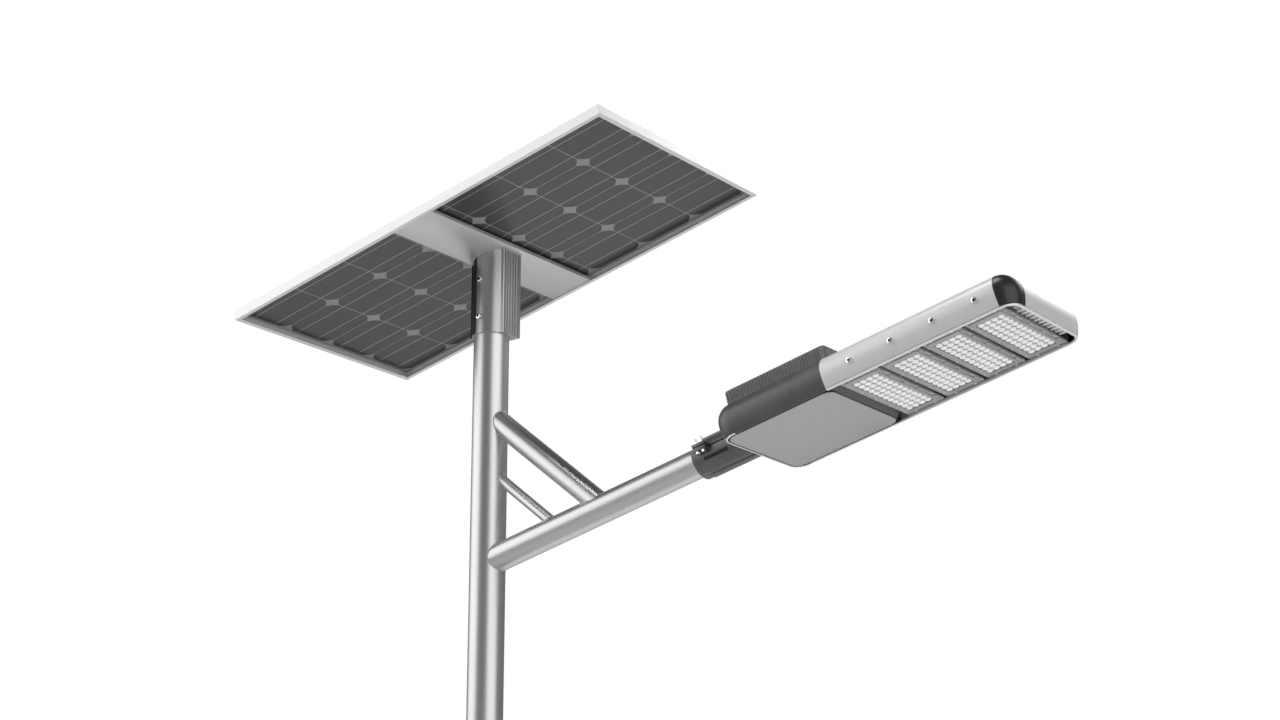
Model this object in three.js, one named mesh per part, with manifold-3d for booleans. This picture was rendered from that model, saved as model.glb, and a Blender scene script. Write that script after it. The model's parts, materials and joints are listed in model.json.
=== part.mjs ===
// Solar street lamp: pole, tilted solar panel, strutted arm and LED lamp head.
// Millimetres, +Z up the pole, +X towards the lamp head, origin under the pole's base.
import * as THREE from 'three';
import { mergeVertices } from 'three/addons/utils/BufferGeometryUtils.js';
import Module from 'manifold-3d';

const wasm = await Module();
wasm.setup();

// ---- driving dimensions ----------------------------------------------------
const TILT = THREE.MathUtils.degToRad(13.9); // panel, arm and head all rise by this
const GAP = 0.3; // left between pieces that touch

const POLE_R = 44.45; // 88.9 mm steel tube
const POLE_WALL = 4;
const BASE_SIDE = 300;
const BASE_T = 16;
const Z_PANEL = 3900; // centre of the panel's underside
const Z_ARM = 3111; // where the arm's axis meets the pole's
const PANEL_SHIFT = 7; // panel centre, ahead of the pole axis

const PANEL_L = 1193;
const PANEL_W = 665;
const FRAME_H = 24.5;
const FRAME_WALL = 1.8;
const LIP_W = 12;
const GROOVE_N = [16.4, 17.8, 22.8]; // under the ledge, on the ledge, under the top lip
const STRIP_W = 124;
const COLLAR_H = 210; // below the panel's underside
const COLLAR_BORE_R = 44.9;
const COLLAR_NOSE_R = 48.8;
const COLLAR_X = 52;
const COLLAR_Y = [-20, 45];
const SET_SCREW_DROPS = [69, 167];

const ARM_R = 34.8;
const ARM_WALL = 3.5;
const ARM_END = 795;
const STRUT_DROP = THREE.MathUtils.degToRad(38.9);
const UPPER_STRUT = { rise: 377.5, r: 28.4, wall: 3 };
const LOWER_STRUT = { rise: 236.5, r: 13.7, wall: 2.5 };

// Head, along the arm (s), across it (y) and square to both (n)
const HEAD_S = [812, 1576];
const HEAD_HALF = 162;
const RIM_N = -48;
const RIM_CORNER_R = 36;
const SHELL_T = 3;
const HOUSING_END = 1100;
const RAIL_END = 1543;
const CAP_Y = 110; // where the near cap meets the front wall
const FAR_CAP_Y = 150; // the front wall runs further round the far corner
const LINER_Y = 112; // the far cap's liner starts here, inside the front wall
const LINER_T = 2;
const FRONT_RIBS = { count: 11, pitch: 19.5 };
const COVER_RIBS = { count: 31, pitch: 8 };
const RAIL_TOP_Y = 112;
const MODULE_S = 1176.5;
const MODULE_PITCH = 106.5;
const MODULES = 4;
const MODULE_HALF = [49, 152];
const WINDOW_HALF = [33, 127.7];
const SLEEVE_R = 44;
const SLEEVE_BORE = 35.2;
const SLEEVE_START = 657;
const HINGE = { s: 836, n: -38, r: 3 };
const RAIL_SCREW_N = -11;
const CLAMP_BOLTS_S = [684, 700];

// ---- materials ---------------------------------------------------------------
const material = (color, metalness, roughness, opacity = 1) =>
  new THREE.MeshStandardMaterial({ color, metalness, roughness, opacity, transparent: opacity < 1 });
const steel = material(0xb4b6b8, 0.9, 0.35);
const alu = material(0xa6a8aa, 0.8, 0.4);
const paleAlu = material(0xd8dadc, 0.7, 0.4);
const silver = material(0xc4c6c8, 0.6, 0.35);
const darkCast = material(0x3a3b3d, 0.3, 0.5);
const doorGrey = material(0x9a9c9e, 0.4, 0.5);
const bright = material(0xe4e6e8, 1, 0.2);
const black = material(0x141517, 0, 0.7);
const cellBlue = material(0x1d2026, 0.1, 0.3);
const clear = material(0xdfe6ea, 0, 0.08, 0.4);
const board = material(0xe9e9e4, 0, 0.5);
const packBlue = material(0x2c5c86, 0, 0.5);

// ---- groups ------------------------------------------------------------------
const lamp = new THREE.Group();
lamp.name = 'solar_street_lamp';
const tiltedGroup = (name, x, z) => {
  const group = new THREE.Group();
  group.name = name;
  group.position.set(x, 0, z);
  group.rotation.y = -TILT;
  group.updateMatrix();
  lamp.add(group);
  return group;
};
const panel = tiltedGroup('panel', PANEL_SHIFT, Z_PANEL); // x and y along the panel, z out of it
const arm = tiltedGroup('arm', 0, Z_ARM); // x along the arm (s), y across it, z square to it (n)
const onArm = (body) => body.transform(arm.matrix.elements);

// ---- solids --------------------------------------------------------------------
const solid = (geometry) => {
  const g = geometry.clone();
  g.deleteAttribute('normal');
  g.deleteAttribute('uv');
  const m = mergeVertices(g, 1e-4);
  const index = m.index.array;
  return new wasm.Manifold(new wasm.Mesh({
    numProp: 3,
    vertProperties: new Float32Array(m.attributes.position.array),
    triVerts: new Uint32Array(index),
  }));
};

const geometryOf = (body) => {
  const m = body.getMesh();
  const g = new THREE.BufferGeometry();
  g.setAttribute('position', new THREE.BufferAttribute(new Float32Array(m.vertProperties), 3));
  g.setIndex(new THREE.BufferAttribute(new Uint32Array(m.triVerts), 1));
  g.computeVertexNormals();
  return g;
};

const box = ([x0, x1], [y0, y1], [z0, z1]) =>
  solid(new THREE.BoxGeometry(x1 - x0, y1 - y0, z1 - z0)
    .translate((x0 + x1) / 2, (y0 + y1) / 2, (z0 + z1) / 2));

// Round bar from a to b along one axis: 'x', 'y' or 'z'
const bar = (axis, r, a, b, at = [0, 0], segments = 32) => {
  const g = new THREE.CylinderGeometry(r, r, b - a, segments);
  if (axis === 'x') g.rotateZ(Math.PI / 2).translate((a + b) / 2, at[0], at[1]);
  if (axis === 'y') g.translate(at[0], (a + b) / 2, at[1]);
  if (axis === 'z') g.rotateX(Math.PI / 2).translate(at[0], at[1], (a + b) / 2);
  return solid(g);
};

const tube = (axis, r, wall, a, b, at, segments) =>
  bar(axis, r, a, b, at, segments).subtract(bar(axis, r - wall, a - 1, b + 1, at, segments));

const polygon = (points) => new THREE.Shape(points.map(([x, y]) => new THREE.Vector2(x, y)));

// Outline in x and y, raised from z0 to z1
const prism = (points, z0, z1) =>
  solid(new THREE.ExtrudeGeometry(polygon(points), { depth: z1 - z0, bevelEnabled: false })
    .translate(0, 0, z0));

// Outline in x and z, run from y0 to y1
const sidePrism = (points, y0, y1) =>
  solid(new THREE.ExtrudeGeometry(polygon(points), { depth: y1 - y0, bevelEnabled: false })
    .rotateX(Math.PI / 2).translate(0, y1, 0));

const roundedRect = ([x0, x1], [y0, y1], r, steps = 7) => {
  const corners = [[x1 - r, y0 + r, -90], [x1 - r, y1 - r, 0], [x0 + r, y1 - r, 90], [x0 + r, y0 + r, 180]];
  return corners.flatMap(([cx, cy, from]) => Array.from({ length: steps + 1 }, (_, i) => {
    const a = THREE.MathUtils.degToRad(from + (90 * i) / steps);
    return [cx + r * Math.cos(a), cy + r * Math.sin(a)];
  }));
};

// Closed skin over equal-length rings stacked in n
const loft = (rings) => {
  const count = rings[0].points.length;
  const vertices = [];
  rings.forEach(({ points, n }) => points.forEach(([x, y]) => vertices.push(x, y, n)));
  const centre = (ring) => {
    vertices.push((HEAD_S[0] + HEAD_S[1]) / 2, 0, ring.n);
    return vertices.length / 3 - 1;
  };
  const low = centre(rings[0]);
  const high = centre(rings.at(-1));
  const faces = [];
  const last = (rings.length - 1) * count;
  for (let i = 0; i < count; i += 1) {
    const j = (i + 1) % count;
    for (let k = 0; k < rings.length - 1; k += 1) {
      const a = k * count;
      faces.push(a + i, a + j, a + count + j, a + i, a + count + j, a + count + i);
    }
    faces.push(low, j, i, high, last + i, last + j);
  }
  const g = new THREE.BufferGeometry();
  g.setAttribute('position', new THREE.BufferAttribute(new Float32Array(vertices), 3));
  g.setIndex(faces);
  return solid(g);
};

const add = (name, body, surface, parent = lamp) => {
  const mesh = new THREE.Mesh(geometryOf(body), surface);
  mesh.name = name;
  parent.add(mesh);
};

// ---- pole ------------------------------------------------------------------------
const gusset = sidePrism([[40, BASE_T - 1], [132, BASE_T - 1], [132, BASE_T + 12],
  [60, BASE_T + 150], [40, BASE_T + 150]], -5, 5);
let base = prism(roundedRect([-BASE_SIDE / 2, BASE_SIDE / 2], [-BASE_SIDE / 2, BASE_SIDE / 2], 12, 3), 0, BASE_T);
for (const turn of [0, 90, 180, 270]) base = base.add(gusset.rotate([0, 0, turn]));
base = base.subtract(bar('z', POLE_R + GAP, BASE_T, 400, [0, 0], 48));
for (const x of [-115, 115]) for (const y of [-115, 115]) base = base.subtract(bar('z', 12, -1, 20, [x, y], 20));
add('base_flange', base, steel);

const poleTop = Z_PANEL - 42;
const cableWay = onArm(bar('x', 17, 20, 70, [0, 0], 24));
add('pole_tube', tube('z', POLE_R, POLE_WALL, BASE_T + GAP, poleTop, [0, 0], 48).subtract(cableWay), steel);

// ---- arm and struts ----------------------------------------------------------------
const poleSpace = bar('z', POLE_R + GAP, 2500, 3900, [0, 0], 48);
const armSpace = onArm(bar('x', ARM_R + GAP, -200, ARM_END, [0, 0], 40));
const armTube = onArm(tube('x', ARM_R, ARM_WALL, 0, ARM_END, [0, 0], 40));
const front = box([0, 2000], [-100, 100], [2500, 4000]);
add('arm_tube', armTube.subtract(poleSpace).intersect(front), steel);

const strut = ({ rise, r, wall }, segments) => {
  const run = rise / (Math.tan(STRUT_DROP) + Math.tan(TILT));
  const frame = new THREE.Matrix4().makeTranslation(0, 0, Z_ARM + rise)
    .multiply(new THREE.Matrix4().makeRotationY(STRUT_DROP));
  return tube('x', r, wall, 5, run / Math.cos(STRUT_DROP), [0, 0], segments)
    .transform(frame.elements).subtract(poleSpace).subtract(armSpace);
};
add('upper_strut', strut(UPPER_STRUT, 36), steel);
add('lower_strut', strut(LOWER_STRUT, 24), steel);

// ---- collar on the pole top ----------------------------------------------------------
const ribs = (x, side) => Array.from({ length: 6 }, (_, i) => {
  const y = COLLAR_Y[0] + 3 + i * 10.2;
  return [[x, y], [x, y + 6.6], [x - side * 1.8, y + 7.6], [x - side * 1.8, y + 9.2]];
}).flat();
const flank = [[-COLLAR_X + 3, COLLAR_Y[0]], [COLLAR_X - 3, COLLAR_Y[0]], ...ribs(COLLAR_X, 1),
  [COLLAR_X, COLLAR_Y[1]], [-COLLAR_X, COLLAR_Y[1]], ...ribs(-COLLAR_X, -1).reverse()];
const collarTop = sidePrism([[-200, Z_PANEL - 400], [200, Z_PANEL - 400],
  [200, Z_PANEL + 1.7 + (200 - PANEL_SHIFT) * Math.tan(TILT)],
  [-200, Z_PANEL + 1.7 - (200 + PANEL_SHIFT) * Math.tan(TILT)]], -200, 200);
const collarBottom = Z_PANEL - COLLAR_H;
let collar = prism(flank, collarBottom, Z_PANEL + 40)
  .add(bar('z', COLLAR_NOSE_R, collarBottom, Z_PANEL + 40, [0, 0], 48))
  .subtract(bar('z', COLLAR_BORE_R, collarBottom - 1, Z_PANEL + 41, [0, 0], 48))
  .intersect(collarTop);
for (const drop of SET_SCREW_DROPS) {
  collar = collar.subtract(bar('y', 5.2, -60, -40, [0, Z_PANEL - drop], 16));
}
add('panel_collar', collar, alu);

SET_SCREW_DROPS.forEach((drop, i) => {
  const z = Z_PANEL - drop;
  const screw = bar('y', 5, -50, -POLE_R - 0.05, [0, z], 16)
    .add(bar('y', 7.5, -56.5, -COLLAR_NOSE_R - 0.2, [0, z], 20))
    .subtract(bar('y', 3.2, -57, -52.5, [0, z], 6));
  add(i ? 'collar_set_screw_lower' : 'collar_set_screw_upper', screw, bright);
});

// ---- panel -----------------------------------------------------------------------------
const half = { s: PANEL_L / 2, y: PANEL_W / 2 };
const clearIn = FRAME_WALL + GAP;
const channel = [[-STRIP_W / 2, 2], [STRIP_W / 2, 2], [STRIP_W / 2, 13], [STRIP_W / 2 - 2, 13],
  [STRIP_W / 2 - 2, 4], [-STRIP_W / 2 + 2, 4], [-STRIP_W / 2 + 2, 13], [-STRIP_W / 2, 13]];
add('cross_strip', sidePrism(channel, -half.y + clearIn, half.y - clearIn)
  .subtract(bar('z', 24, -5, 20, [-PANEL_SHIFT, 0], 24)), alu, panel);

// Frame bar: outer wall, bottom lip and the groove that grips the glass, mitred at both ends
const [ledgeLow, ledgeTop, lipLow] = GROOVE_N;
const framePoints = [[0, 0], [LIP_W, 0], [LIP_W, 1.6], [FRAME_WALL, 1.6], [FRAME_WALL, ledgeLow], [9, ledgeLow],
  [9, ledgeTop], [FRAME_WALL, ledgeTop], [FRAME_WALL, lipLow], [9, lipLow], [9, FRAME_H], [0, FRAME_H]];
const frameBar = (length) => {
  const g = new THREE.ExtrudeGeometry(polygon(framePoints), { depth: length, bevelEnabled: false });
  const p = g.attributes.position;
  for (let i = 0; i < p.count; i += 1) {
    const inward = p.getX(i) + GAP / 2;
    p.setZ(i, p.getZ(i) < length / 2 ? inward : length - inward);
  }
  return g.translate(0, 0, -length / 2);
};
const frameSide = (length, offset, turn) => solid(frameBar(length).rotateX(Math.PI / 2)
  .translate(-offset, 0, 0).rotateZ(THREE.MathUtils.degToRad(turn)));
add('frame_rail_low', frameSide(PANEL_W, half.s, 0), paleAlu, panel);
add('frame_rail_high', frameSide(PANEL_W, half.s, 180), paleAlu, panel);
add('frame_rail_near', frameSide(PANEL_L, half.y, 90), paleAlu, panel);
add('frame_rail_far', frameSide(PANEL_L, half.y, -90), paleAlu, panel);

const pane = (n0, n1) => box([-half.s + clearIn, half.s - clearIn], [-half.y + clearIn, half.y - clearIn], [n0, n1]);
add('cell_laminate', pane(ledgeTop + GAP, ledgeTop + 1.3), cellBlue, panel);
add('panel_glass', pane(ledgeTop + 1.6, lipLow - 0.2), clear, panel);
add('junction_box', box([-45, 45], [70, 190], [4.6, ledgeTop]).subtract(box([-42, 42], [73, 187], [0, 12])),
  black, panel);

// ---- head shell ---------------------------------------------------------------------------
// How far the outline stands in from the rim at each height: a bulge below, a roll-over above
const shellProfile = [[0, RIM_N], [-3, -42], [-6.5, -30], [-9, -16], [-9, -2], [-6, 10], [0, 20],
  [9, 28.5], [20, 33.8], [32, 36.3], [44, 37]];
const offsetProfile = (profile, t) => profile.map(([d, n], i) => {
  const [d0, n0] = profile[Math.max(i - 1, 0)];
  const [d1, n1] = profile[Math.min(i + 1, profile.length - 1)];
  const length = Math.hypot(d1 - d0, n1 - n0);
  return [d + (t * (n1 - n0)) / length, n - (t * (d1 - d0)) / length];
});
const shellSolid = (t) => {
  const profile = offsetProfile(shellProfile, t);
  profile[0] = [t, t > 0 ? RIM_N - 2 : RIM_N];
  return loft(profile.map(([d, n]) => ({
    n,
    points: roundedRect([HEAD_S[0] + d, HEAD_S[1] - d], [-HEAD_HALF + d, HEAD_HALF - d],
      Math.max(RIM_CORNER_R - d, 6)),
  })));
};
const shellOuter = shellSolid(0);
const shellInner = shellSolid(SHELL_T);
const shellSpace = shellSolid(-GAP);
const shell = shellOuter.subtract(shellInner);
const FULL_Y = [-200, 200];
const FULL_N = [-60, 60];

// Rear housing: the gear compartment, with its sloping front wall and the door's sealing ledge
const LEDGE_S = [HINGE.s + 11, 1098];
const OPENING_S = [HINGE.s + 21, 1086];
const OPENING_HALF = 138;
const openingHalves = [-OPENING_HALF, OPENING_HALF];
const housingLedge = box(LEDGE_S, [-160, 160], [-42, -39]).subtract(box(OPENING_S, openingHalves, [-50, 0]));
const slopeWall = sidePrism([[1086, -41.5], [1099, -41.5], [1121, -20], [1121, 34], [1117, 34], [1117, -17],
  [1096, -37.5], [1086, -37.5]], -146, 146).subtract(box([1080, 1099.6], [-200, 200], [-36, 60]));
const bossS = [HINGE.s - 7, HINGE.s + 7];
const hingeBosses = box(bossS, [152, 168], [-44.5, -31]).add(box(bossS, [-168, -152], [-44.5, -31]))
  .intersect(shellOuter);
const rearHousing = shellOuter.intersect(box([700, HOUSING_END], FULL_Y, FULL_N))
  .subtract(shellInner.intersect(box([700, HOUSING_END - SHELL_T], FULL_Y, FULL_N)))
  .subtract(box([1080, HOUSING_END + 1], [-156, 156], [-60, -42]))
  .add(housingLedge.intersect(shellOuter)).add(slopeWall.intersect(shellSolid(SHELL_T + GAP))).add(hingeBosses)
  .subtract(bar('y', HINGE.r + 0.2, -157, 157, [HINGE.s, HINGE.n], 16))
  .subtract(bar('x', 15, 780, 830, [0, 0], 20))
  .subtract(bar('z', 12, 20, 50, [880, 60], 20));
add('rear_housing', rearHousing, darkCast, arm);

add('charge_controller', box([900, 1060], [-110, -10], [-4, 33.6]).add(box([888, 900], [-100, -20], [4, 24])),
  alu, arm);
add('terminal_block', box([900, 930], [30, 110], [14, 33.6]), black, arm);

const ribbedSide = (side) => Array.from({ length: COVER_RIBS.count }, (_, i) => {
  const s = 833 + i * COVER_RIBS.pitch;
  return [[s, side * 118], [s + 4.8, side * 118], [s + 6.4, side * 115.6]];
}).flat();
const boxCorner = (cx, cy, from) => Array.from({ length: 5 }, (_, i) => {
  const a = THREE.MathUtils.degToRad(from + 22.5 * i);
  return [cx + 12 * Math.cos(a), cy + 12 * Math.sin(a)];
});
const coverOutline = [...boxCorner(1085, -106, -90).slice(1), ...boxCorner(1085, 106, 0).slice(0, -1),
  ...ribbedSide(1).filter(([s]) => s < 1085).reverse(), ...boxCorner(833, 106, 90).slice(1),
  ...boxCorner(833, -106, 180).slice(0, -1), ...ribbedSide(-1).filter(([s]) => s < 1085)]
  .filter(([s, y]) => !(Math.abs(y) > 107 && s < 832 && Math.abs(y) > 114.9));
add('battery_cover', prism(coverOutline, 37 + GAP, 80)
  .subtract(prism(roundedRect([824, 1094], [-113, 113], 9, 3), 30, 77.5)), darkCast, arm);
add('battery_pack', box([834, 1084], [-104, 104], [38, 74]).subtract(box([955, 963], [-200, 200], [60, 80])),
  packBlue, arm);

// Silver rails, dark corner caps and the front wall
for (const [side, tag] of [[-1, 'near'], [1, 'far']]) {
  const outside = (s0, s1, y) => box([s0, s1], side < 0 ? [-200, -y] : [y, 200], FULL_N);
  let rail = shell.intersect(outside(HOUSING_END + GAP, RAIL_END, RAIL_TOP_Y));
  for (let k = 0; k < MODULES; k += 1) {
    rail = rail.subtract(bar('y', 3.2, side < 0 ? -190 : 150, side < 0 ? -150 : 190,
      [MODULE_S + k * MODULE_PITCH, RAIL_SCREW_N], 12));
  }
  add(`side_rail_${tag}`, rail, silver, arm);
}
const linerSkin = shellSolid(SHELL_T + GAP);
const linerInside = shellSolid(SHELL_T + GAP + LINER_T);
const ahead = [RAIL_END + GAP, 1650];
add('corner_cap_near', shell.intersect(box(ahead, [-200, -CAP_Y - GAP], FULL_N)), darkCast, arm);
add('corner_cap_far', shellOuter.intersect(box(ahead, [FAR_CAP_Y + GAP, 200], FULL_N))
  .add(linerSkin.intersect(box(ahead, [LINER_Y, 200], FULL_N))).subtract(linerInside), darkCast, arm);
let frontWall = shell.intersect(box(ahead, [-CAP_Y, FAR_CAP_Y], FULL_N));
for (let i = 0; i < FRONT_RIBS.count; i += 1) {
  const y = (i - (FRONT_RIBS.count - 1) / 2) * FRONT_RIBS.pitch;
  frontWall = frontWall.add(prism([[1551, y - 1], [1590, y - 11], [1590, y + 11], [1551, y + 1]], -44, 32)
    .intersect(shellOuter));
}
add('front_wall', frontWall, silver, arm);

// ---- LED modules ---------------------------------------------------------------------------
const [mS, mY] = MODULE_HALF;
const [wS, wY] = WINDOW_HALF;
for (let k = 0; k < MODULES; k += 1) {
  const s = MODULE_S + k * MODULE_PITCH;
  const about = (ds, dy, n) => box([s - ds, s + ds], [-dy, dy], n);
  let sink = about(mS, mY, [-38, -33]);
  for (let i = 0; i < 12; i += 1) {
    const y = (i - 5.5) * 25;
    sink = sink.add(box([s - mS, s + mS], [y - 1.3, y + 1.3], [-34, 24]));
  }
  for (const side of [-1, 1]) {
    const lug = side < 0 ? [-166.6, -137] : [137, 166.6];
    sink = sink.add(box([s - 9, s + 9], lug, [RAIL_SCREW_N - 8, RAIL_SCREW_N + 8]))
      .subtract(bar('y', 3, side < 0 ? -170 : 151, side < 0 ? -151 : 170, [s, RAIL_SCREW_N], 12));
  }
  add(`heatsink_${k + 1}`, sink, alu, arm);
  add(`led_board_${k + 1}`, about(36, 131, [-39.9, -38.3]), board, arm);
  add(`lens_plate_${k + 1}`, about(38.5, 133, [-42.3, -40.2]).add(about(wS, wY, [-47, -42])), clear, arm);
  add(`module_frame_${k + 1}`, about(mS, mY, [-45.5, -38.3]).subtract(about(wS + 0.4, wY + 0.4, [-50, -30]))
    .subtract(about(39, 133.5, [-42.6, -30])), alu, arm);
  for (const [side, tag] of [[-1, 'near'], [1, 'far']]) {
    const run = (r, a, b, seg) => bar('y', r, side < 0 ? -b : a, side < 0 ? -a : b, [s, RAIL_SCREW_N], seg);
    add(`rail_screw_${tag}_${k + 1}`, run(2.8, 153, 173, 12).add(run(7, 171.4, 176, 20))
      .subtract(run(2.6, 173.5, 178, 6)), bright, arm);
  }
}

// ---- spigot ------------------------------------------------------------------------------------
const ear = (n) => box([674, 710], [-60, -40], n);
const clampHoles = CLAMP_BOLTS_S.map((s) => bar('z', 3.3, -20, 60, [s, -52], 12));
const bore = bar('x', SLEEVE_BORE, 600, 900, [0, 0], 40);
let sleeve = bar('x', SLEEVE_R, SLEEVE_START, 819, [0, 0], 40)
  .add(box([SLEEVE_START + 22, 819], [-9, 9], [-47, -20])).add(ear([3, 11]))
  .subtract(box([600, 799.7], [-100, 100], [11, 100])).subtract(bore)
  .subtract(shellSpace);
let saddle = bar('x', SLEEVE_R, SLEEVE_START + 6, 799.4, [0, 0], 40)
  .intersect(box([600, 900], [-100, 100], [13, 100])).add(box([672, 799.4], [-13, 13], [30, 48]))
  .add(ear([13, 21])).subtract(bore);
for (const hole of clampHoles) {
  sleeve = sleeve.subtract(hole);
  saddle = saddle.subtract(hole);
}
add('spigot_sleeve', sleeve, darkCast, arm);
add('spigot_saddle', saddle, darkCast, arm);
CLAMP_BOLTS_S.forEach((s, i) => {
  add(i ? 'clamp_bolt_front' : 'clamp_bolt_rear', bar('z', 3, -2, 36, [s, -52], 12)
    .add(bar('z', 6, -3.4, 2.7, [s, -52], 6)).add(bar('z', 6, 21.3, 27, [s, -52], 6)), bright, arm);
});

// ---- gear door -----------------------------------------------------------------------------------
const doorPlate = prism(roundedRect([819, 1103], [-151, 151], 25), RIM_N, -45);
const lug = (y) => box([HINGE.s - 5.5, HINGE.s + 5.5], [y - 8, y + 8], [-46, -33]);
add('door_plate', doorPlate.add(lug(-110)).add(lug(110))
  .subtract(bar('y', HINGE.r + 0.1, -130, 130, [HINGE.s, HINGE.n], 16)), doorGrey, arm);
add('door_hinge_rod', bar('y', HINGE.r, -156.5, 156.5, [HINGE.s, HINGE.n], 16), bright, arm);
add('door_catch', box([1064, 1084], [-12, 12], [-44.7, -35]), bright, arm);
const grown = ([a, b], by) => [a - by, b + by];
add('door_gasket', box(grown(OPENING_S, 7), grown(openingHalves, 7), [-44.7, -42.3])
  .subtract(box(grown(OPENING_S, 2), grown(openingHalves, 2), [-50, -40])), black, arm);

export default lamp;
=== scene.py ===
"""Looks of the solar street lamp: fine meshes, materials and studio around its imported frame.

Pieces are modelled in millimetres, most of them in the arm's or the panel's own axes:
s along the arm, y across it and n square to both. place() sets them into the row frame.
"""
import json
import math

import bmesh
import bpy
from mathutils import Matrix, Vector


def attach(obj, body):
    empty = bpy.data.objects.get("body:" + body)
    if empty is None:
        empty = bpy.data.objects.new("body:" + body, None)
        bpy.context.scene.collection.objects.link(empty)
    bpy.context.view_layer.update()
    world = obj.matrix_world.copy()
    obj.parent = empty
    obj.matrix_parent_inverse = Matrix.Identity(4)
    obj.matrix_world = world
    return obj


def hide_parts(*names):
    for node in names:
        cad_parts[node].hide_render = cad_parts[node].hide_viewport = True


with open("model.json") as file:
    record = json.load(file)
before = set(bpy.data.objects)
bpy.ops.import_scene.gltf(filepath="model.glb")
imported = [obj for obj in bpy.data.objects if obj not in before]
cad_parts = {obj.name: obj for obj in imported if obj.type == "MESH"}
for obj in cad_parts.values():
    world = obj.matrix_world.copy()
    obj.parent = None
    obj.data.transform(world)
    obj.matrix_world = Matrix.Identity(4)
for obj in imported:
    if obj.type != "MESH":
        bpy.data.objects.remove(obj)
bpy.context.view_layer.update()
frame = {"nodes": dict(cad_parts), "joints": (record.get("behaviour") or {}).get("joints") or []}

# ---- frame -------------------------------------------------------------------
MM = 0.001
GAP = 0.3  # between touching pieces
joints = {joint["name"]: joint for joint in frame["joints"]}
arm_axis = joints["head_level"]["axis"]
TILT = math.atan2(arm_axis[2], arm_axis[0])
WORLD = Matrix.Identity(4)


def tilted(origin):
    """Axes that rise with the arm, in millimetres, about a point in metres."""
    return Matrix.Translation(Vector(origin) / MM) @ Matrix.Rotation(-TILT, 4, "Y")


def span(axes, *nodes):
    """Lowest and highest corner of CAD nodes in the given axes, in millimetres."""
    inverse = axes.inverted()
    corners = [inverse @ (v.co / MM) for n in nodes for v in frame["nodes"][n].data.vertices]
    return [Vector([pick(c[i] for c in corners) for i in range(3)]) for pick in (min, max)]


ARM = tilted(joints["head_level"]["pos_m"])
RAILS = ["frame_rail_low", "frame_rail_high", "frame_rail_near", "frame_rail_far"]
rail_low, rail_high = span(tilted((0, 0, 0)), *RAILS)
panel_centre = (rail_low + rail_high) / 2
panel_centre.z = rail_low.z
PANEL = Matrix.Rotation(-TILT, 4, "Y") @ Matrix.Translation(panel_centre)
POLE_LOW, POLE_HIGH = span(WORLD, "pole_tube")
POLE_R = POLE_HIGH.y
STRUT_DROP = math.radians(38.9)
MODULES = range(1, 5)
SIDES = [(-1, "near"), (1, "far")]


# ---- solids ------------------------------------------------------------------
def solid(name, vertices, faces):
    mesh = bpy.data.meshes.new(name)
    mesh.from_pydata([tuple(v) for v in vertices], [], faces)
    work = bmesh.new()
    work.from_mesh(mesh)
    bmesh.ops.remove_doubles(work, verts=work.verts, dist=1e-5)
    bmesh.ops.recalc_face_normals(work, faces=work.faces)
    work.to_mesh(mesh)
    work.free()
    made = bpy.data.objects.new(name, mesh)
    bpy.context.scene.collection.objects.link(made)
    return made


def settle(made):
    """Turns a piece's modifiers into its mesh."""
    mesh = bpy.data.meshes.new_from_object(made.evaluated_get(bpy.context.evaluated_depsgraph_get()))
    made.modifiers.clear()
    made.data = mesh
    return made


def boolean(made, operation, others):
    for other in others:
        modifier = made.modifiers.new(operation, "BOOLEAN")
        modifier.operation = operation
        modifier.solver = "MANIFOLD"
        modifier.object = other
    settle(made)
    for other in others:
        bpy.data.objects.remove(other)
    return made


def cut(made, *others):
    return boolean(made, "DIFFERENCE", others)


def join(made, *others):
    return boolean(made, "UNION", others)


def meet(made, *others):
    return boolean(made, "INTERSECT", others)


def twin(made):
    copy = made.copy()
    copy.data = made.data.copy()
    bpy.context.scene.collection.objects.link(copy)
    return copy


def gather(name, parts):
    """One piece of several solids that don't touch."""
    work = bmesh.new()
    for part in parts:
        work.from_mesh(part.data)
        bpy.data.objects.remove(part)
    made = solid(name, [], [])
    work.to_mesh(made.data)
    work.free()
    return made


def moved(made, matrix):
    made.data.transform(matrix)
    return made


def bevel(made, width, segments=2, angle=40):
    modifier = made.modifiers.new("bevel", "BEVEL")
    modifier.width = width
    modifier.segments = segments
    modifier.limit_method = "ANGLE"
    modifier.angle_limit = math.radians(angle)
    return settle(made)


def loft(rings, closed=False):
    """Skin over equal-length rings, capped at both ends or closed into a loop."""
    count = len(rings[0])
    vertices = [point for ring in rings for point in ring]
    faces = []
    for k in range(len(rings) if closed else len(rings) - 1):
        a, b = k * count, (k + 1) % len(rings) * count
        faces += [(a + i, a + (i + 1) % count, b + (i + 1) % count, b + i) for i in range(count)]
    if not closed:
        faces += [tuple(range(count)), tuple(range(len(vertices) - count, len(vertices)))]
    return solid("loft", vertices, faces)


TURNS = {
    "x": Matrix(((0, 0, 1), (1, 0, 0), (0, 1, 0))),
    "y": Matrix(((0, 1, 0), (0, 0, 1), (1, 0, 0))),
    "z": Matrix.Identity(3),
}


def lathe(profile, axis="z", at=(0, 0, 0), segments=96, closed=False):
    """Turns (radius, height) points about an axis through a point."""
    rings = [[TURNS[axis] @ Vector((r * math.cos(a), r * math.sin(a), h)) + Vector(at)
              for a in (math.tau * i / segments for i in range(segments))] for r, h in profile]
    return loft(rings, closed)


def bar(axis, r, a, b, at=(0, 0, 0), edge=0.0, segments=96):
    e = max(edge, 1e-3)
    return lathe([(r - e, a), (r, a + e), (r, b - e), (r - e, b)], axis, at, segments)


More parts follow.
